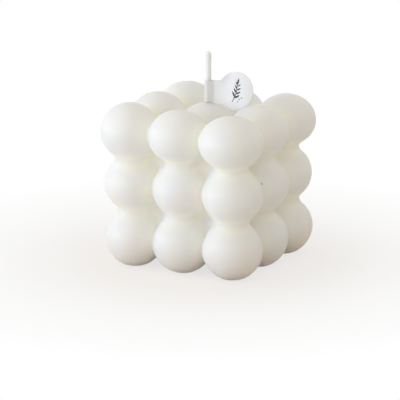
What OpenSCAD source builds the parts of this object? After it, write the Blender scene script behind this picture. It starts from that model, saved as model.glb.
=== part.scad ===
// Cube candle: wax bubbles cast as one piece, three by three by three, on a wick that
// runs right through, with a folded paper flag round the free end of the wick.
// Millimetres, +Z up, origin on the table under the wick, front of the flag towards -Y.

/* [Bubbles] */
// Distance between bubble centres in the two lower layers
pitch = 19; // [16:0.5:24]
// How far a lower bubble reaches past the halfway plane to its neighbour
overlap = 1.1; // [0.8:0.1:1.8]
// Fillet radius in the creases between bubbles
crease_r = 1.2; // [0.8:0.1:1.6]
// Depth cut from the lowest bubbles for their flat feet
foot_cut = 0.8; // [0.4:0.1:1.6]
// How far the solid filling stands out past the centres of the outer bubbles
filling_rise = 0.5; // [0.5:0.25:2.5]

/* [Top layer] */
// How much further apart the top bubbles stand than the lower ones
top_spread = 0.8; // [0.2:0.1:1.4]
// How far a top bubble reaches past the halfway plane to its neighbour
top_overlap = 0.9; // [0.7:0.1:1.6]
// How much lower a top bubble is than it is wide, from centre to edge
top_squash = 1.8; // [0.8:0.1:2]
// How much less than one pitch the top layer stands above the middle one
top_settle = 0.5; // [0:0.1:1]
// How far the middle bubble has sunk round the wick as the wax cooled
wick_sink = 1.2; // [0.4:0.1:2]

/* [Wick] */
// Diameter of the waxed wick
wick_d = 2; // [1.2:0.1:3]
// Length of wick that stands out of the wax
wick_free = 18; // [14:0.2:30]
// Gap between the wick and the wax round it
wick_fit = 0.05; // [0.03:0.01:0.1]
// Height above the table at which the wick was trimmed
wick_trim = 0.3; // [0.1:0.1:1]

/* [Paper flag] */
// Thickness of one layer of the paper
paper_t = 0.2; // [0.15:0.05:0.3]
// Diameter of the round end
disc_d = 13.2; // [11:0.2:16]
// Distance from the wick to the middle of the round end
disc_reach = 10.9; // [9:0.1:14]
// Height of the strip at the fold
fold_h = 6.4; // [4:0.2:7.6]
// Height of the strip from where its two layers close
strip_h = 8; // [6:0.2:9]
// How much higher the middle of the round end stands than the middle of the strip
disc_rise = 1.1; // [0:0.1:1.6]
// Room between the wick and the paper where the leaning fold comes nearest
fold_room = 0.15; // [0.05:0.05:0.4]
// Distance over which the two layers close beside the wick
fold_taper = 1.6; // [1.2:0.1:2.4]
// Angle by which the flag leans back
flag_lean = 6; // [0:1:8]
// Gap between the rim of the round end and the bubble under it
flag_gap = 0.15; // [0.1:0.05:0.5]

/* [Hidden] */
$fn = 96;

wax_colour = "#f4f1e8";
wick_colour = "#eeeeea";
paper_colour = "#e6e6ec";

// Depth by which a fillet bites into the bubbles that it joins
bite = 0.012;
// Deeper bite where a joined bubble is not a true sphere
deep_bite = 0.1;
// Extra length of a cut past the face that it opens
past = 5;
rows = [-1, 0, 1];

// Lower bubbles are spheres
bubble_r = pitch / 2 + overlap;
// Top bubbles are ovals turned about the vertical: a side arc and a flatter cap arc
top_pitch = pitch + top_spread;
top_r = top_pitch / 2 + top_overlap;
top_h = top_r - top_squash;
shoulder = 0.7;
side_r = top_h - shoulder;
side_out = top_r - side_r;
cap_smooth_r = (side_out * side_out + top_h * top_h - side_r * side_r) / (2 * shoulder);
cap_r = 0.975 * cap_smooth_r;
cap_reach = side_out * cap_smooth_r / (cap_smooth_r - side_r);

// Heights of the bubble centres and of the crown under the flag
low_z = bubble_r - foot_cut;
mid_z = low_z + pitch;
top_z = mid_z + pitch - top_settle;
crown_z = top_z - wick_sink + top_h;
wick_top_z = crown_z + wick_free;

// Bubble centre at a place in the lattice, each index from -1 to 1
function centre(i, j, k) =
    k < 1 ? [i * pitch, j * pitch, mid_z + k * pitch]
          : [i * top_pitch, j * top_pitch, top_z - (i == 0 && j == 0 ? wick_sink : 0)];

// Right-hand meeting point of two circles, the second one above the first
function meet(c1, r1, c2, r2) =
    let (
        d = norm(c2 - c1),
        u = (c2 - c1) / d,
        along = (r1 * r1 - r2 * r2 + d * d) / (2 * d),
        across = sqrt(r1 * r1 - along * along)
    )
    c1 + along * u + across * [u[1], -u[0]];

// Moves what stands on the origin to p1, and tips it towards p2
module from_to(p1, p2) {
    v = p2 - p1;
    translate(p1)
        rotate([0, acos(v[2] / norm(v)), atan2(v[1], v[0])])
            children();
}

// Ring that fills the crease between a round form at p1 and one at p2.
// out2 is how far the second form's arc lies off the line between them.
module crease(p1, r1, p2, r2, out2 = 0, sunk = bite) {
    top = [out2, norm(p2 - p1)];
    hub = meet([0, 0], r1 + crease_r - sunk, top, r2 + crease_r - sunk);
    start = hub[1] * r1 / (r1 + crease_r);
    end = top[1] + (hub[1] - top[1]) * r2 / (r2 + crease_r);
    from_to(p1, p2)
        rotate_extrude()
            difference() {
                translate([0, start]) square([hub[0], end - start]);
                translate(hub) circle(crease_r);
            }
}

// Round bubble of the two lower layers
module bubble() {
    sphere(bubble_r);
}

// Squashed bubble of the top layer
module top_bubble() {
    rotate_extrude()
        intersection() {
            union() {
                translate([side_out, 0]) circle(side_r);
                intersection() {
                    translate([0, top_h - cap_r]) circle(cap_r);
                    translate([0, cap_r - top_h]) circle(cap_r);
                    translate([-cap_reach, -top_r]) square([2 * cap_reach, 2 * top_r]);
                }
            }
            translate([0, -top_r]) square([2 * top_r, 2 * top_r]);
        }
}

// Creases between neighbours in one of the two lower layers
module layer_creases(k) {
    for (i = [-1, 0], j = rows) {
        crease(centre(i, j, k), bubble_r, centre(i + 1, j, k), bubble_r);
        crease(centre(j, i, k), bubble_r, centre(j, i + 1, k), bubble_r);
    }
}

// Crease between two top bubbles, whose side arcs lie side_out from their centres
module top_crease(c1, c2) {
    u = (c2 - c1) / norm(c2 - c1) * side_out;
    crease(c1 + u, side_r, c2 - u, side_r, sunk = deep_bite);
}

module top_creases() {
    for (i = [-1, 0], j = rows) {
        top_crease(centre(i, j, 1), centre(i + 1, j, 1));
        top_crease(centre(j, i, 1), centre(j, i + 1, 1));
    }
}

// Creases that run round the upright columns, left out on the hidden middle column
module column_creases() {
    for (i = rows, j = rows) if (i != 0 || j != 0) {
        crease(centre(i, j, -1), bubble_r, centre(i, j, 0), bubble_r);
        crease(centre(i, j, 0), bubble_r, centre(i, j, 1), side_r,
               out2 = side_out, sunk = deep_bite);
    }
}

// Wax between the bubbles, which closes every pit
module filling() {
    reach = pitch + filling_rise;
    translate([-reach, -reach, low_z - filling_rise])
        cube([2 * reach, 2 * reach, top_z - low_z + 2 * filling_rise]);
}

module wax_body() {
    color(wax_colour)
        difference() {
            union() {
                filling();
                for (i = rows, j = rows) {
                    translate(centre(i, j, -1)) bubble();
                    translate(centre(i, j, 0)) bubble();
                    translate(centre(i, j, 1)) top_bubble();
                }
                layer_creases(-1);
                layer_creases(0);
                top_creases();
                column_creases();
            }
            // Flat feet
            translate([-2 * pitch, -2 * pitch, -past])
                cube([4 * pitch, 4 * pitch, past]);
            // Bore that the wick runs through
            translate([0, 0, -past])
                cylinder(r = wick_d / 2 + wick_fit, h = wick_top_z + past);
        }
}

module wick() {
    color(wick_colour)
        translate([0, 0, wick_trim])
            rotate_extrude()
                intersection() {
                    union() {
                        square([wick_d / 2, wick_top_z - wick_trim - wick_d / 2]);
                        translate([0, wick_top_z - wick_trim - wick_d / 2]) circle(wick_d / 2);
                    }
                    square([wick_d, wick_top_z]);
                }
}

// Height at which the round end stands flag_gap clear of a circle in the row's plane
function disc_rest(c, r) =
    let (
        near = r + disc_d / 2 + flag_gap,
        across = min(abs(c[0] - disc_reach), near)
    )
    c[1] + sqrt(near * near - across * across);

// Height of the middle of the strip
flag_z = max(
    disc_rest([top_pitch, top_z + top_h - cap_r], cap_r) - disc_rise,
    disc_rest([top_pitch - side_out, top_z], side_r) - disc_rise,
    crown_z + strip_h / 2 + flag_gap
);
// The wick stands upright in a loop that leans, which takes up some of the room
fold_r = wick_d / 2 + fold_h / 2 * tan(flag_lean) + fold_room;
fold_outer_r = fold_r + paper_t;
fold_close = fold_r + fold_taper;

// Angle at which the paper leaves the wick to close to a point
fold_turn = acos(fold_r / fold_close);
// Distance from the wick to where the outer faces meet the flat of the flag
fold_end = fold_outer_r * cos(fold_turn)
    + (fold_outer_r * sin(fold_turn) - paper_t) * tan(fold_turn);
// Start of the loop's straight sides, a little inside its round end
side_start = 0.97;

// Upright prism round the wick that closes to a tip 2 * half_t wide
module loop_block(r, tip, half_t) {
    turn = r * side_start * [cos(fold_turn), sin(fold_turn)];
    cylinder(r = r, h = 4 * disc_d, center = true);
    translate([0, 0, -2 * disc_d])
        linear_extrude(4 * disc_d)
            polygon([
                [-turn[0] / 2, turn[1]],
                [turn[0], turn[1]],
                [tip, half_t],
                [tip, -half_t],
                [turn[0], -turn[1]],
                [-turn[0] / 2, -turn[1]]
            ]);
}

// Paper seen from the front: a strip that widens to the round end
module flag_outline() {
    back = fold_outer_r + 1;
    rotate([90, 0, 0])
        translate([0, 0, -disc_d])
            linear_extrude(2 * disc_d)
                polygon([
                    [-back, -fold_h / 2],
                    [-wick_d / 2, -fold_h / 2],
                    [fold_close, -strip_h / 2],
                    [disc_reach, -strip_h / 2],
                    [disc_reach, strip_h / 2],
                    [fold_close, strip_h / 2],
                    [-wick_d / 2, fold_h / 2],
                    [-back, fold_h / 2]
                ]);
}

module paper_tag() {
    color(paper_colour)
        translate([0, 0, flag_z])
            rotate([-flag_lean, 0, 0])
                union() {
                    // Loop that closes round the wick
                    intersection() {
                        difference() {
                            loop_block(fold_outer_r, fold_end, paper_t);
                            loop_block(fold_r, fold_close, 0);
                        }
                        flag_outline();
                    }
                    // Two layers of the strip, face to face
                    intersection() {
                        translate([fold_close, -paper_t, -disc_d])
                            cube([disc_reach - fold_close, 2 * paper_t, 2 * disc_d]);
                        flag_outline();
                    }
                    // Round end
                    translate([disc_reach, paper_t, disc_rise])
                        rotate([90, 0, 0])
                            cylinder(r = disc_d / 2, h = 2 * paper_t);
                }
}

wax_body();
wick();
paper_tag();
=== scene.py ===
"""Cube candle: wax bubbles cast as one piece, a waxed wick and a folded paper flag.

Shapes are worked out in millimetres in the part's frame and go to the meshes in metres.
"""

import itertools
import math

import bpy
import numpy as np
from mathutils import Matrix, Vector

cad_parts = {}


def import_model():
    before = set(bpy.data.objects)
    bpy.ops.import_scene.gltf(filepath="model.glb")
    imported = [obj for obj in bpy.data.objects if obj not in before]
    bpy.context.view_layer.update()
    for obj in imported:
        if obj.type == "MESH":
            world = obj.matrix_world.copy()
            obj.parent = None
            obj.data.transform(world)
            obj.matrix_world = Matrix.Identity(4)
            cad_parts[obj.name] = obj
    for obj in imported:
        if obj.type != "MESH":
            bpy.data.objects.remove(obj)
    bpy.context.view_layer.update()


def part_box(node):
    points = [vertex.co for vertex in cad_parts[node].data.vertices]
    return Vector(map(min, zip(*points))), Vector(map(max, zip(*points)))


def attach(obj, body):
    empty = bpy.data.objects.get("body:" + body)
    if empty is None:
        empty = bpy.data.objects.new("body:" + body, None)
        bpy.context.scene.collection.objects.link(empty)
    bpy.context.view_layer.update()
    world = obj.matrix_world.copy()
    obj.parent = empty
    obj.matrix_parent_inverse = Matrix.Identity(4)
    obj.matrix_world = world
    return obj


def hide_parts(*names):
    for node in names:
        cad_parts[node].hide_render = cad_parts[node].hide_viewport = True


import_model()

MM = 0.001


def cad_corners(node):
    """Lowest and highest corner of a node's box, in millimetres."""
    return [np.array(corner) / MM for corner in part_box(node)]


wax_low, wax_high = cad_corners("wax_body")
wick_low, wick_high = cad_corners("wick")
tag_low, tag_high = cad_corners("paper_tag")

# Wax block. The two lower layers stand a little off the wick's axis, as they were cast
PITCH = 19.0
LOWER_SHIFT = (0.4, 0.25)
# Layers from the bottom up: spacing in x and in y, half-width and half-height of a bubble
LAYERS = (
    (PITCH, PITCH, 10.25, 10.2),
    (PITCH, PITCH, 10.3, 9.8),
    (19.4, 20.1, 10.35, 9.05),
)
# How much less than one pitch the top layer stands above the middle one
TOP_SETTLE = 0.55
# How far the middle bubble has sunk round the wick as the wax cooled
WICK_SINK = 1.2
# Bubbles that came out of the mould a little different: place, shift and stretch
ODD_BUBBLES = {
    (1, -1, 1): ((0.2, -0.2, 0.0), (1.06, 1.06, 1.0)),
    (0, -1, 1): ((-0.5, 0.0, 0.0), (1.0, 1.0, 1.0)),
    (-1, -1, 1): ((0.1, 0.0, -0.1), (0.98, 0.98, 1.08)),
    (1, 1, 1): ((0.35, 0.1, 0.0), (1.0, 1.0, 1.0)),
    (-1, 0, 1): ((0.0, 0.0, 0.0), (1.0, 1.0, 1.06)),
    (-1, 1, 1): ((0.25, 0.15, 0.35), (1.03, 1.03, 1.0)),
    (1, 1, 0): ((-0.5, 0.0, -0.1), (1.0, 1.0, 1.0)),
    (-1, -1, -1): ((0.35, 0.0, 0.0), (1.0, 1.0, 1.0)),
}
# Fillets: round the upright necks, in the creases between columns, in the pits, at the feet
NECK_ROUND = 3.4
CREASE_ROUND = 1.1
PIT_ROUND = 3.0
FOOT_ROUND = 0.5
# How far the solid filling stands out past the centres of the outer bubbles: it stays inside them
FILLING_RISE = -0.5
FILLING_ROUND = 3.0
# Wax drawn up round the foot of the wick
MENISCUS_RISE = 0.7
MENISCUS_R = 1.5
# Dimple round the trimmed lower end of the wick
DIMPLE_DEPTH = 0.4
DIMPLE_R = 1.7
# Slow waves in the hand-cast surface
WAVE_HEIGHT = 0.07
WAVE_LENGTH = 13.0
# Size of a cell of the grid in which the block is worked out
CELL = 0.75

# Wick
WICK_R = 1.06
WICK_STRANDS = 4
WICK_TWIST = 5.2
STRAND_RELIEF = 0.012
WICK_AROUND = 48
WICK_RINGS = 420
WICK_TIP_RINGS = 9
# Angle at which the rounded tip ends, short of its top
WICK_TIP_TURN = 84

# Paper flag
PAPER_T = 0.12
LAYER_GAP = 0.02
DISC_R = 6.5
DISC_REACH = 10.8
# How much higher the middle of the round end stands than the middle of the strip
DISC_RISE = 1.1
# Lower and upper edge of the strip from its middle line: at the fold, and beside the round end
FOLD_EDGES = (-2.8, 3.5)
STRIP_EDGES = (-3.75, 4.15)
# Distance from the wick by which each edge has reached its full height
STRIP_FULL = (1.6, 5.4)
FOLD_R = 1.14
FOLD_CLOSE = 2.25
FOLD_LEAN = 0.8
DISC_LEAN = 10.0
FLAG_TURN = -1.8
# How much lower than its solid the flag hangs
FLAG_DROP = 0.54
FLAG_CURL = 0.35
# Distances from the wick between which the lean grows from the fold's to the round end's
LEAN_RUN = (2.0, 9.0)
# Points along the fold's arc, its closing sides, the strip and the round end, and across
FOLD_POINTS = 28
CLOSING_POINTS = 8
STRIP_POINTS = 8
ROUND_POINTS = 40
ACROSS_POINTS = 25

# Camera
VIEW_AZIMUTH = 28.2
VIEW_ELEVATION = 14.1
VIEW_DISTANCE = 954.0
FOCAL_PIXELS = 2769.0
PICTURE = 400
SENSOR_MM = 36.0
# Pixel on which the middle of the middle layer lies
MIDDLE_PIXEL = (209.5, 177.1)


# Points and meshes


def new_mesh(name, points, faces, smooth=True):
    """Object made of points in millimetres."""
    mesh = bpy.data.meshes.new(name)
    mesh.from_pydata((np.asarray(points) * MM).tolist(), [], np.asarray(faces).tolist())
    mesh.validate()
    if smooth:
        mesh.shade_smooth()
    piece = bpy.data.objects.new(name, mesh)
    bpy.context.scene.collection.objects.link(piece)
    return piece


def looking_from(azimuth, elevation):
    """Direction to a place round the candle, in degrees. Azimuth 0 is in front, as seen along +Y."""
    turn, rise = math.radians(azimuth), math.radians(elevation)
    return Vector((math.sin(turn) * math.cos(rise), -math.cos(turn) * math.cos(rise), math.sin(rise)))


def smooth_step(value, start, end):
    """0 before start, 1 after end, and a smooth rise between them."""
    t = np.clip((value - start) / (end - start), 0.0, 1.0)
    return t * t * (3 - 2 * t)


# Shape of the wax, as a distance that is 0 on the surface and below 0 inside


def layer_heights():
    low = wax_high[2] - LAYERS[2][3] - 2 * PITCH + TOP_SETTLE
    return low, low + PITCH, wax_high[2] - LAYERS[2][3]


def bubble_at(place):
    """Centre and half-sizes of the bubble at a place in the lattice, -1 to 1 each way."""
    i, j, k = place
    space_x, space_y, half_width, half_height = LAYERS[k + 1]
    shift, stretch = ODD_BUBBLES.get(place, ((0, 0, 0), (1, 1, 1)))
    lower = LOWER_SHIFT if k < 1 else (0, 0)
    sink = WICK_SINK if (i, j) == (0, 0) and k == 1 else 0
    centre = np.array([i * space_x + lower[0], j * space_y + lower[1], layer_heights()[k + 1] - sink])
    return centre + shift, np.array([half_width, half_width, half_height]) * stretch


def oval_distance(points, centre, half_sizes):
    scaled = (points - centre) / half_sizes
    length = np.linalg.norm(scaled, axis=-1)
    slope = np.linalg.norm(scaled / half_sizes, axis=-1)
    return length * (length - 1) / np.maximum(slope, 1e-9)


def block_distance(points, centre, half_sizes, rounding):
    q = np.abs(points - centre) - (np.asarray(half_sizes) - rounding)
    outside = np.linalg.norm(np.maximum(q, 0), axis=-1)
    return outside + np.minimum(q.max(axis=-1), 0) - rounding


def join(distances, rounding):
    """Union of forms whose creases are filled with a fillet."""
    pull = sum(np.maximum(rounding - d, 0) ** 2 for d in distances)
    return np.maximum(rounding, np.minimum.reduce(distances)) - np.sqrt(pull)


def waves(points):
    """Slow uneven waves, from about -1 to 1."""
    x, y, z = np.moveaxis(points * (2 * math.pi / WAVE_LENGTH), -1, 0)
    swell = np.sin(x + 1.3 * np.sin(0.7 * y + 0.4)) * np.sin(y + 0.9 * np.sin(0.8 * z))
    cross_swell = np.sin(1.1 * z + 0.6 * x - 0.5 * y)
    return 0.6 * swell + 0.4 * cross_swell


def wax_distance(points):
    columns = []
    for i, j in itertools.product((-1, 0, 1), repeat=2):
        ovals = [oval_distance(points, *bubble_at((i, j, k))) for k in (-1, 0, 1)]
        columns.append(join(ovals, NECK_ROUND))
    low, middle, high = layer_heights()
    reach = PITCH + FILLING_RISE
    filling = block_distance(
        points,
        np.array([LOWER_SHIFT[0] / 2, LOWER_SHIFT[1] / 2, (low + high) / 2]),
        [reach, reach, (high - low) / 2 + FILLING_RISE],
        FILLING_ROUND,
    )
    body = join([join(columns, CREASE_ROUND), filling], PIT_ROUND)
    from_wick = np.hypot(points[..., 0], points[..., 1])
    near_crown = smooth_step(points[..., 2], middle, high)
    body = body - near_crown * MENISCUS_RISE * np.exp(-((from_wick / MENISCUS_R) ** 2))
    body = body - WAVE_HEIGHT * waves(points)
    floor = -points[..., 2] + DIMPLE_DEPTH * np.exp(-((from_wick / DIMPLE_R) ** 4))
    return -join([-body, -floor], FOOT_ROUND)


def slope_of(distance, points, reach=0.02):
    """Outward slope of a distance at each point."""
    steps = np.eye(3) * reach
    return np.stack([distance(points + s) - distance(points - s) for s in steps], axis=-1) / (2 * reach)


def grid_skin(values, low, cell):
    """Four-sided faces round the zero level of a grid, with one corner in each crossed cell."""
    inside = values < 0
    ends = (slice(0, -1), slice(1, None))
    count = sum(inside[a, b, c].astype(np.int8) for a, b, c in itertools.product(ends, repeat=3))
    crossed = (count > 0) & (count < 8)
    number = np.full(crossed.shape, -1)
    number[crossed] = np.arange(np.count_nonzero(crossed))
    points = low + (np.argwhere(crossed) + 0.5) * cell
    faces = []
    for axis in range(3):
        side = np.moveaxis(inside, axis, 0)
        cells = np.moveaxis(number, axis, 0)
        near = side[:-1, 1:-1, 1:-1]
        i, j, k = np.nonzero(near != side[1:, 1:-1, 1:-1])
        corners = [cells[i, j, k], cells[i, j + 1, k], cells[i, j + 1, k + 1], cells[i, j, k + 1]]
        quads = np.stack(corners, axis=1)
        turned = near[i, j, k] == (axis == 1)
        quads[turned] = quads[turned][:, ::-1]
        faces.append(quads)
    return points, np.concatenate(faces)


def relaxed(points, faces):
    """Each point moved halfway to the middle of its neighbours."""
    start = faces.ravel()
    end = np.roll(faces, -1, axis=1).ravel()
    both, other = np.concatenate([start, end]), np.concatenate([end, start])
    total = np.bincount(both, minlength=len(points))[:, None]
    middle = np.stack([np.bincount(both, points[other, n], len(points)) for n in range(3)], axis=1) / total
    return (points + middle) / 2


def settled(points, distance):
    """Points brought onto the surface along its slope."""
    slope = slope_of(distance, points)
    steep = np.maximum((slope**2).sum(axis=1), 0.05)
    step = distance(points) / steep
    return points - np.clip(step, -CELL, CELL)[:, None] * slope


def openness(points, normals):
    """How open the space in front of each point is, from 0 deep in a pit to 1 on a crown."""
    reaches = (1.5, 3.0, 6.0, 9.0)
    shares = [np.clip(wax_distance(points + normals * reach) / reach, 0, 1) for reach in reaches]
    return sum(shares) / len(reaches)


# Wax material


def node_tree(name):
    material = bpy.data.materials.new(name)
    material.use_nodes = True
    return material, material.node_tree.nodes, material.node_tree.links


def noise(nodes, links, where, scale, detail=2.0, roughness=0.5):
    """Noise that is fixed to the object."""
    node = nodes.new("ShaderNodeTexNoise")
    links.new(where.outputs["Object"], node.inputs["Vector"])
    node.inputs["Scale"].default_value = scale
    node.inputs["Detail"].default_value = detail
    node.inputs["Roughness"].default_value = roughness
    return node


def add_bump(nodes, links, height, shader, strength, depth):
    """Fine relief on a shader, with its depth in millimetres."""
    bump = nodes.new("ShaderNodeBump")
    bump.inputs["Strength"].default_value = strength
    bump.inputs["Distance"].default_value = depth * MM
    links.new(height.outputs["Fac"], bump.inputs["Height"])
    links.new(bump.outputs["Normal"], shader.inputs["Normal"])


def mix_colours(nodes, first, second):
    node = nodes.new("ShaderNodeMix")
    node.data_type = "RGBA"
    node.inputs["A"].default_value = (*first, 1)
    node.inputs["B"].default_value = (*second, 1)
    return node


def map_range(nodes, start, end, to_start=0.0, to_end=1.0):
    node = nodes.new("ShaderNodeMapRange")
    node.inputs["From Min"].default_value = start
    node.inputs["From Max"].default_value = end
    node.inputs["To Min"].default_value = to_start
    node.inputs["To Max"].default_value = to_end
    return node


# Colour of the wax on its crowns, and a brighter, creamier colour painted into its pits as painted light
# for the glow of light scattered through the wax and bounced between the bubbles
WAX_OPEN = (0.865, 0.862, 0.855)
WAX_PIT_PAINTED_GLOW = (1.0, 0.98, 0.89)
# Dark tone painted on a speck for the shade in a tiny pinhole
WAX_PINHOLE_SHADE = (0.60, 0.56, 0.50)
# Tone towards which the wax is mottled, and how far
WAX_CLOUD = (0.78, 0.76, 0.70)
CLOUD_SHARE = 0.05
# Openness at which the painted glow of the pits starts, and at which it is full
PIT_GLOW_OPEN_RANGE = (1.0, 0.35)
# Roughness where the wax is shiniest and where it is dullest
WAX_ROUGHNESS = (0.40, 0.52)
# How far light spreads in the wax in millimetres, and the share of that for red, green and blue
WAX_DEPTH = 12.0
WAX_SPREAD = (1.0, 0.85, 0.6)
# Dark speck painted on the middle bubble of the right-hand side for the shade in a tiny pinhole: its
# place, angle, height and size
SPECK_PLACE = (1, 0, 0)
SPECK_TURN = -57.0
SPECK_HEIGHT = 2.4
SPECK_R = 0.5


def speck_point():
    centre, half_sizes = bubble_at(SPECK_PLACE)
    level = math.sqrt(1 - (SPECK_HEIGHT / half_sizes[2]) ** 2)
    turn = math.radians(SPECK_TURN)
    offset = half_sizes * (level * math.cos(turn), level * math.sin(turn), 0)
    return centre + offset + (0, 0, SPECK_HEIGHT)


def wax_material():
    material, nodes, links = node_tree("wax")
    wax = nodes["Principled BSDF"]
    where = nodes.new("ShaderNodeTexCoord")

    # Painted light: a brighter, creamier tone in the pits stands in for light scattered through the wax
    # and bounced between the bubbles
    open_share = nodes.new("ShaderNodeAttribute")
    open_share.attribute_name = "openness"
    pit_glow_share = map_range(nodes, *PIT_GLOW_OPEN_RANGE)
    links.new(open_share.outputs["Fac"], pit_glow_share.inputs["Value"])
    tone = mix_colours(nodes, WAX_OPEN, WAX_PIT_PAINTED_GLOW)
    links.new(pit_glow_share.outputs["Result"], tone.inputs["Factor"])

    # Faint cloudy mottling
    clouds = noise(nodes, links, where, scale=160, detail=4.0)
    cloud_share = map_range(nodes, 0.35, 0.75, 0.0, CLOUD_SHARE)
    links.new(clouds.outputs["Fac"], cloud_share.inputs["Value"])
    mottled = mix_colours(nodes, WAX_OPEN, WAX_CLOUD)
    links.new(tone.outputs["Result"], mottled.inputs["A"])
    links.new(cloud_share.outputs["Result"], mottled.inputs["Factor"])

    # Painted shade: a dark speck stands in for the shade in a tiny pinhole in the wax
    to_speck = nodes.new("ShaderNodeVectorMath")
    to_speck.operation = "DISTANCE"
    to_speck.inputs[1].default_value = tuple(speck_point() * MM)
    links.new(where.outputs["Object"], to_speck.inputs[0])
    pinhole_shade_share = map_range(nodes, SPECK_R * MM, 0.4 * SPECK_R * MM)
    links.new(to_speck.outputs["Value"], pinhole_shade_share.inputs["Value"])
    pinhole_shaded = mix_colours(nodes, WAX_OPEN, WAX_PINHOLE_SHADE)
    links.new(mottled.outputs["Result"], pinhole_shaded.inputs["A"])
    links.new(pinhole_shade_share.outputs["Result"], pinhole_shaded.inputs["Factor"])
    links.new(pinhole_shaded.outputs["Result"], wax.inputs["Base Color"])

    # Soft sheen, a little duller in places
    sheen = noise(nodes, links, where, scale=90, detail=3.0)
    dull = map_range(nodes, 0.3, 0.7, *WAX_ROUGHNESS)
    links.new(sheen.outputs["Fac"], dull.inputs["Value"])
    links.new(dull.outputs["Result"], wax.inputs["Roughness"])

    # Fine bloom on the surface
    grain = noise(nodes, links, where, scale=900, detail=3.0)
    add_bump(nodes, links, grain, wax, strength=0.08, depth=0.1)

    wax.inputs["Subsurface Weight"].default_value = 1.0
    wax.inputs["Subsurface Radius"].default_value = WAX_SPREAD
    wax.inputs["Subsurface Scale"].default_value = WAX_DEPTH * MM
    wax.inputs["Specular IOR Level"].default_value = 0.35
    wax.inputs["IOR"].default_value = 1.44
    return material


def wax_piece():
    low = np.floor(wax_low) - 2 * CELL
    counts = np.ceil((np.ceil(wax_high) + 3 * CELL - low) / CELL).astype(int)
    axes = [low[n] + CELL * np.arange(counts[n]) for n in range(3)]
    grid = np.stack(np.meshgrid(*axes, indexing="ij"), axis=-1)
    points, faces = grid_skin(wax_distance(grid), low, CELL)
    for _ in range(3):
        points = relaxed(settled(points, wax_distance), faces)
    for _ in range(2):
        points = settled(points, wax_distance)
    piece = new_mesh("wax_block", points, faces)
    slope = slope_of(wax_distance, points)
    normals = slope / np.linalg.norm(slope, axis=1)[:, None]
    # Openness of each point, which sets how much painted glow the pits get
    share = piece.data.attributes.new("openness", "FLOAT", "POINT")
    share.data.foreach_set("value", openness(points, normals).astype(np.float32))
    piece.data.materials.append(wax_material())
    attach(piece, "root")
    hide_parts("wax_body")


# Wick

WICK_WAXED = (0.97, 0.985, 1.0)
WICK_FIBRE = (0.93, 0.945, 0.965)
# How far light spreads in the wick, in millimetres
WICK_DEPTH = 1.2


def wick_material():
    material, nodes, links = node_tree("waxed_wick")
    wick = nodes["Principled BSDF"]
    where = nodes.new("ShaderNodeTexCoord")
    fibre = noise(nodes, links, where, scale=1500, detail=3.0)
    share = map_range(nodes, 0.4, 0.8)
    links.new(fibre.outputs["Fac"], share.inputs["Value"])
    tone = mix_colours(nodes, WICK_WAXED, WICK_FIBRE)
    links.new(share.outputs["Result"], tone.inputs["Factor"])
    links.new(tone.outputs["Result"], wick.inputs["Base Color"])
    add_bump(nodes, links, fibre, wick, strength=0.1, depth=0.03)
    wick.inputs["Roughness"].default_value = 0.35
    wick.inputs["Subsurface Weight"].default_value = 1.0
    wick.inputs["Subsurface Radius"].default_value = (1.0, 1.0, 1.0)
    wick.inputs["Subsurface Scale"].default_value = WICK_DEPTH * MM
    return material


def wick_piece():
    """Braided wick under a coat of wax: strands that wind both ways, and a rounded tip."""
    around = WICK_AROUND
    top = wick_high[2]
    bottom = wick_low[2]
    straight = np.linspace(bottom, top - WICK_R, WICK_RINGS)
    dome = np.radians(np.linspace(0, WICK_TIP_TURN, WICK_TIP_RINGS))[1:]
    heights = np.concatenate([straight, top - WICK_R + WICK_R * np.sin(dome)])
    widths = np.concatenate([np.ones(len(straight)), np.cos(dome)])
    turn = np.arange(around) * 2 * math.pi / around
    z, a = np.meshgrid(heights, turn, indexing="ij")
    climb = 2 * math.pi * z / WICK_TWIST
    right = np.abs(np.sin((WICK_STRANDS * a / 2) + climb))
    left = np.abs(np.sin((WICK_STRANDS * a / 2) - climb))
    relief = STRAND_RELIEF * (np.maximum(right, left) - 1)
    r = (WICK_R + relief) * widths[:, None]
    rings = np.stack([r * np.cos(a), r * np.sin(a), z], axis=-1).reshape(-1, 3)
    points = np.concatenate([rings, [[0, 0, bottom], [0, 0, top]]])
    # Each place round a ring with the place after it
    steps = [(i, (i + 1) % around) for i in range(around)]
    faces = []
    for n in range(len(heights) - 1):
        low, high = n * around, (n + 1) * around
        faces += [[low + i, low + after, high + after, high + i] for i, after in steps]
    last = (len(heights) - 1) * around
    foot, tip = len(rings), len(rings) + 1
    faces += [[foot, after, i] for i, after in steps]
    faces += [[tip, last + i, last + after] for i, after in steps]
    mesh = bpy.data.meshes.new("wick_braid")
    mesh.from_pydata((points * MM).tolist(), [], faces)
    mesh.shade_smooth()
    piece = bpy.data.objects.new("wick_braid", mesh)
    bpy.context.scene.collection.objects.link(piece)
    mesh.materials.append(wick_material())
    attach(piece, "root")
    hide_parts("wick")


# Paper flag

PAPER = (0.925, 0.915, 0.91)
# Tone of the paper's darker fibres as a share of PAPER, and how much light comes through the paper
PAPER_DARK = 0.965
PAPER_THROUGH = 0.15
INK = (0.045, 0.047, 0.055)
# Tone of the ink where it is thinnest, as a multiple of INK
INK_THIN = 2.4


def disc_height():
    return (tag_low[2] + tag_high[2]) / 2 - FLAG_DROP


def on_flag(x, out, up):
    """Point of the flag: x from the wick, out in front of its middle plane, up from the disc."""
    lean = np.radians(FOLD_LEAN + (DISC_LEAN - FOLD_LEAN) * smooth_step(x, *LEAN_RUN))
    curled = smooth_step(x, DISC_REACH - DISC_R, DISC_REACH)
    back = -out + FLAG_CURL * ((x - DISC_REACH) / DISC_R) ** 2 * curled
    y = back * np.cos(lean) + up * np.sin(lean)
    z = disc_height() - back * np.sin(lean) + up * np.cos(lean)
    turn = math.radians(FLAG_TURN)
    along = x * math.cos(turn) - y * math.sin(turn)
    across = x * math.sin(turn) + y * math.cos(turn)
    return np.stack([along, across, z], axis=-1)


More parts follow.
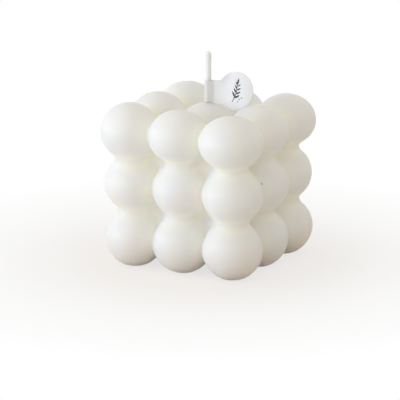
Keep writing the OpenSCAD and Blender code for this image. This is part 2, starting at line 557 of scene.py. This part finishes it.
def fold_plan():
    """Middle line of one layer seen from above, from the back of the fold to the closing point."""
    half_layer = (PAPER_T + LAYER_GAP) / 2
    r = FOLD_R + PAPER_T / 2
    leave = math.acos(r / FOLD_CLOSE)
    angles = np.linspace(math.pi, leave, FOLD_POINTS)
    arc = np.stack([r * np.cos(angles), r * np.sin(angles)], axis=1)
    shares = np.linspace(0, 1, CLOSING_POINTS)[1:, None]
    closing = shares * ([FOLD_CLOSE, half_layer] - arc[-1]) + arc[-1]
    return np.concatenate([arc, closing])


def paper_edges(x):
    """Lower and upper edge of the paper at a distance x from the wick, up from the disc."""
    disc = np.sqrt(np.maximum(DISC_R**2 - (x - DISC_REACH) ** 2, 0))
    edges = []
    for side, at_fold, at_disc, full in zip((-1, 1), FOLD_EDGES, STRIP_EDGES, STRIP_FULL):
        widened = np.clip((x + FOLD_R) / (full + FOLD_R), 0, 1)
        strip = at_fold + (at_disc - at_fold) * widened - DISC_RISE
        edges.append(np.where(x < DISC_REACH, side * np.maximum(side * strip, disc), side * disc))
    return edges


def paper_material():
    material, nodes, links = node_tree("thin_paper")
    paper = nodes["Principled BSDF"]
    where = nodes.new("ShaderNodeTexCoord")
    pulp = noise(nodes, links, where, scale=700, detail=5.0, roughness=0.65)
    share = map_range(nodes, 0.3, 0.8)
    links.new(pulp.outputs["Fac"], share.inputs["Value"])
    tone = mix_colours(nodes, PAPER, tuple(PAPER_DARK * c for c in PAPER))
    links.new(share.outputs["Result"], tone.inputs["Factor"])
    links.new(tone.outputs["Result"], paper.inputs["Base Color"])
    add_bump(nodes, links, pulp, paper, strength=0.15, depth=0.02)
    paper.inputs["Roughness"].default_value = 0.3
    paper.inputs["Specular IOR Level"].default_value = 0.5
    through = nodes.new("ShaderNodeBsdfTranslucent")
    through.inputs["Color"].default_value = (*PAPER, 1)
    both = nodes.new("ShaderNodeMixShader")
    both.inputs["Fac"].default_value = PAPER_THROUGH
    links.new(paper.outputs["BSDF"], both.inputs[1])
    links.new(through.outputs["BSDF"], both.inputs[2])
    links.new(both.outputs["Shader"], nodes["Material Output"].inputs["Surface"])
    return material


def flag_piece():
    """One strip of paper folded round the wick, with its two round ends stuck face to face."""
    half_layer = (PAPER_T + LAYER_GAP) / 2
    plan = fold_plan()
    start = math.acos((DISC_RISE - STRIP_EDGES[0]) / DISC_R)
    neck = np.linspace(FOLD_CLOSE, DISC_REACH - DISC_R * math.sin(start), STRIP_POINTS)[1:]
    round_end = DISC_REACH + DISC_R * np.sin(np.linspace(-start, math.pi / 2, ROUND_POINTS))[1:]
    flat = np.concatenate([neck, round_end])
    run = np.concatenate([plan, np.stack([flat, np.full(len(flat), half_layer)], axis=1)])
    back = run[1:] * (1, -1)
    line = np.concatenate([run[::-1], back])
    across = (1 + np.sin(np.linspace(-1, 1, ACROSS_POINTS) * math.pi / 2)) / 2
    low, high = paper_edges(line[:, 0])
    step = np.gradient(line, axis=0)
    normal = np.stack([step[:, 1], -step[:, 0]], axis=1)
    normal /= np.linalg.norm(normal, axis=1)[:, None]
    sides = []
    for offset in (-PAPER_T / 2, PAPER_T / 2):
        plane = line + offset * normal
        x = np.repeat(plane[:, :1], len(across), axis=1)
        out = np.repeat(plane[:, 1:], len(across), axis=1)
        up = low[:, None] + (high - low)[:, None] * across[None, :]
        sides.append(on_flag(x, out, up).reshape(-1, 3))
    points = np.concatenate(sides)
    rows, cols, size = len(line), len(across), len(sides[0])
    faces = []
    for n in range(rows - 1):
        for i in range(cols - 1):
            a = n * cols + i
            faces.append([a, a + 1, a + cols + 1, a + cols])
            faces.append([size + a, size + a + cols, size + a + cols + 1, size + a + 1])
        for i in (0, cols - 1):
            a = n * cols + i
            quad = [a, a + cols, size + a + cols, size + a]
            faces.append(quad if i == 0 else quad[::-1])
    piece = new_mesh("paper_flag", points, faces)
    piece.data.materials.append(paper_material())
    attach(piece, "root")
    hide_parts("paper_tag")


# Sprig printed on the front of the flag: leaves along a stem, and a few berries
SPRIG_H = 8.0
SPRIG_LEAN = 14.0
STEM_W = 0.14
LEAF_LENGTH = 2.3
LEAF_W = 0.72
LEAF_PAIRS = 4
LEAF_ANGLE = 46.0
BERRY_R = 0.2
BERRIES = ((1.7, -2.7), (2.5, -2.2), (1.2, -3.6))
INK_RISE = 0.012


def leaf_outline(root, angle, length, width):
    along = np.linspace(0, 1, 13)
    bulge = width / 2 * np.sin(math.pi * along**0.85)
    upper = np.stack([along * length, bulge], axis=1)
    lower = np.stack([along * length, -bulge], axis=1)[-2:0:-1]
    turn = math.radians(angle)
    spin = np.array([[math.cos(turn), math.sin(turn)], [-math.sin(turn), math.cos(turn)]])
    return np.concatenate([upper, lower]) @ spin + root


def sprig_shapes():
    """Outlines of the print, in millimetres from the middle of the disc."""
    lean = math.radians(SPRIG_LEAN)
    bottom, top = -SPRIG_H / 2, SPRIG_H / 2 - 0.8 * LEAF_LENGTH

    def stem_point(t):
        height = bottom + (top - bottom) * t
        side = height * math.tan(lean) + 0.5 * math.sin(math.pi * t)
        return np.array([side, height])

    line = np.array([stem_point(t) for t in np.linspace(0, 1, 16)])
    step = np.gradient(line, axis=0)
    normal = np.stack([-step[:, 1], step[:, 0]], axis=1) / np.linalg.norm(step, axis=1)[:, None]
    half = STEM_W / 2 * np.linspace(1.2, 0.7, 16)[:, None]
    shapes = [np.concatenate([line + half * normal, (line - half * normal)[::-1]])]
    for n in range(LEAF_PAIRS):
        t = 0.28 + 0.66 * n / (LEAF_PAIRS - 1)
        size = 1 - 0.12 * n
        for side in (-1, 1):
            root = stem_point(t - 0.03 * side)
            angle = 90 - SPRIG_LEAN - side * LEAF_ANGLE
            shapes.append(leaf_outline(root, angle, size * LEAF_LENGTH, size * LEAF_W))
    shapes.append(leaf_outline(line[-1], 90 - SPRIG_LEAN + 6, LEAF_LENGTH, LEAF_W))
    ring = np.linspace(0, 2 * math.pi, 15)[:-1]
    for place in BERRIES:
        shapes.append(np.stack([BERRY_R * np.cos(ring), BERRY_R * np.sin(ring)], axis=1) + place)
    return shapes


def ink_material():
    material, nodes, links = node_tree("printed_ink")
    ink = nodes["Principled BSDF"]
    where = nodes.new("ShaderNodeTexCoord")
    soak = noise(nodes, links, where, scale=2500)
    tone = mix_colours(nodes, INK, tuple(INK_THIN * c for c in INK))
    links.new(soak.outputs["Fac"], tone.inputs["Factor"])
    links.new(tone.outputs["Result"], ink.inputs["Base Color"])
    ink.inputs["Roughness"].default_value = 0.7
    return material


def print_piece():
    out = PAPER_T + LAYER_GAP / 2 + INK_RISE
    points, faces = [], []
    for shape in sprig_shapes():
        middle = shape.mean(axis=0)
        outline = np.concatenate([[middle], shape])
        spots = on_flag(DISC_REACH + outline[:, 0], np.full(len(outline), out), outline[:, 1])
        first, count = len(points), len(shape)
        points += spots.tolist()
        faces += [[first, first + 1 + i, first + 1 + (i + 1) % count] for i in range(count)]
    piece = new_mesh("flag_print", points, faces, smooth=False)
    piece.data.materials.append(ink_material())
    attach(piece, "root")


# Camera, light and ground


def camera():
    back = looking_from(VIEW_AZIMUTH, VIEW_ELEVATION)
    turn = math.radians(VIEW_AZIMUTH)
    right = Vector((math.cos(turn), math.sin(turn), 0))
    up = back.cross(right)
    middle = Vector((*LOWER_SHIFT, layer_heights()[1]))
    scale = VIEW_DISTANCE / FOCAL_PIXELS
    to_right, to_top = PICTURE / 2 - MIDDLE_PIXEL[0], PICTURE / 2 - MIDDLE_PIXEL[1]
    aim = middle + right * to_right * scale - up * to_top * scale
    place = middle + back * VIEW_DISTANCE
    data = bpy.data.cameras.new("camera")
    data.sensor_width = SENSOR_MM
    data.lens = SENSOR_MM * FOCAL_PIXELS / PICTURE
    data.clip_start = 0.05
    data.clip_end = 20
    eye = bpy.data.objects.new("camera", data)
    bpy.context.scene.collection.objects.link(eye)
    eye.location = place * MM
    eye.rotation_mode = "QUATERNION"
    eye.rotation_quaternion = (aim - place).to_track_quat("-Z", "Y")
    bpy.context.scene.camera = eye


# Soft lamps: name, azimuth and elevation in degrees, size in metres, power in watts and colour
LAMPS = (
    ("side", -60, 8, 0.3, 1.9, (0.88, 1.0, 1.2)),
    ("front", -30, 8, 0.3, 1.9, (0.88, 1.0, 1.2)),
    ("top", -30, 80, 0.8, 0.6, (0.88, 1.0, 1.05)),
)
LAMP_DISTANCE = 1.0
# Height of the middle of the candle, in metres
LAMP_AIM = 0.03


def soft_light(name, azimuth, elevation, size, power, colour):
    """Square lamp that looks at the middle of the candle."""
    back = looking_from(azimuth, elevation)
    data = bpy.data.lights.new(name, "AREA")
    data.size = size
    data.energy = power
    data.color = colour
    lamp = bpy.data.objects.new(name, data)
    bpy.context.scene.collection.objects.link(lamp)
    lamp.location = Vector((0, 0, LAMP_AIM)) + back * LAMP_DISTANCE
    lamp.rotation_mode = "QUATERNION"
    lamp.rotation_quaternion = (-back).to_track_quat("-Z", "Y")


def seen_directly(nodes, links):
    """1 for rays from the camera and for reflections, 0 for the light on the object."""
    path = nodes.new("ShaderNodeLightPath")
    first = nodes.new("ShaderNodeMath")
    first.operation = "MAXIMUM"
    links.new(path.outputs["Is Camera Ray"], first.inputs[0])
    links.new(path.outputs["Is Glossy Ray"], first.inputs[1])
    second = nodes.new("ShaderNodeMath")
    second.operation = "MAXIMUM"
    links.new(first.outputs["Value"], second.inputs[0])
    links.new(path.outputs["Is Transmission Ray"], second.inputs[1])
    return second.outputs["Value"]


AMBIENT = 0.66
AMBIENT_COLOUR = (1.0, 0.96, 0.88)


def world():
    made = bpy.data.worlds.new("white")
    made.use_nodes = True
    nodes, links = made.node_tree.nodes, made.node_tree.links
    ambient = nodes["Background"]
    ambient.inputs["Color"].default_value = (*AMBIENT_COLOUR, 1)
    ambient.inputs["Strength"].default_value = AMBIENT
    white = nodes.new("ShaderNodeBackground")
    white.inputs["Color"].default_value = (1, 1, 1, 1)
    white.inputs["Strength"].default_value = 1.0
    both = nodes.new("ShaderNodeMixShader")
    links.new(seen_directly(nodes, links), both.inputs["Fac"])
    links.new(ambient.outputs["Background"], both.inputs[1])
    links.new(white.outputs["Background"], both.inputs[2])
    links.new(both.outputs["Shader"], nodes["World Output"].inputs["Surface"])
    bpy.context.scene.world = made


FLOOR_SIZE = 3.0
FLOOR_NEAR = (0.74, 0.63, 0.52)
FLOOR_FAR = (0.84, 0.83, 0.81)
# Distances from the middle, in metres, over which the tone and the shadow change
TONE_RUN = (0.04, 0.08)
FADE_RUN = (0.04, 0.12)
# How much of the floor near the candle is the white of the backdrop
FADE_NEAR = 0.72


def floor():
    half = FLOOR_SIZE / 2 / MM
    corners = [[-half, -half, 0], [half, -half, 0], [half, half, 0], [-half, half, 0]]
    piece = new_mesh("floor", corners, [[0, 1, 2, 3]])
    material, nodes, links = node_tree("pale_floor")
    plain = nodes["Principled BSDF"]
    plain.inputs["Roughness"].default_value = 0.8
    plain.inputs["Specular IOR Level"].default_value = 0.1
    glow = nodes.new("ShaderNodeEmission")
    glow.inputs["Color"].default_value = (1, 1, 1, 1)
    glow.inputs["Strength"].default_value = 1.0
    where = nodes.new("ShaderNodeTexCoord")
    away = nodes.new("ShaderNodeVectorMath")
    away.operation = "LENGTH"
    links.new(where.outputs["Object"], away.inputs[0])
    # A warmer tone round the foot, which colours the lowest bubbles
    spread = map_range(nodes, *TONE_RUN)
    links.new(away.outputs["Value"], spread.inputs["Value"])
    tone = mix_colours(nodes, FLOOR_NEAR, FLOOR_FAR)
    links.new(spread.outputs["Result"], tone.inputs["Factor"])
    links.new(tone.outputs["Result"], plain.inputs["Base Color"])
    # The shadow near the candle fades into the white of the backdrop
    fade = map_range(nodes, *FADE_RUN, FADE_NEAR, 1.0)
    links.new(away.outputs["Value"], fade.inputs["Value"])
    share = nodes.new("ShaderNodeMath")
    share.operation = "MULTIPLY"
    links.new(fade.outputs["Result"], share.inputs[0])
    links.new(seen_directly(nodes, links), share.inputs[1])
    both = nodes.new("ShaderNodeMixShader")
    links.new(share.outputs["Value"], both.inputs["Fac"])
    links.new(plain.outputs["BSDF"], both.inputs[1])
    links.new(glow.outputs["Emission"], both.inputs[2])
    links.new(both.outputs["Shader"], nodes["Material Output"].inputs["Surface"])
    piece.data.materials.append(material)


wax_piece()
wick_piece()
flag_piece()
print_piece()
camera()
floor()
world()
for lamp_settings in LAMPS:
    soft_light(*lamp_settings)

bpy.context.scene.view_settings.view_transform = "Standard"
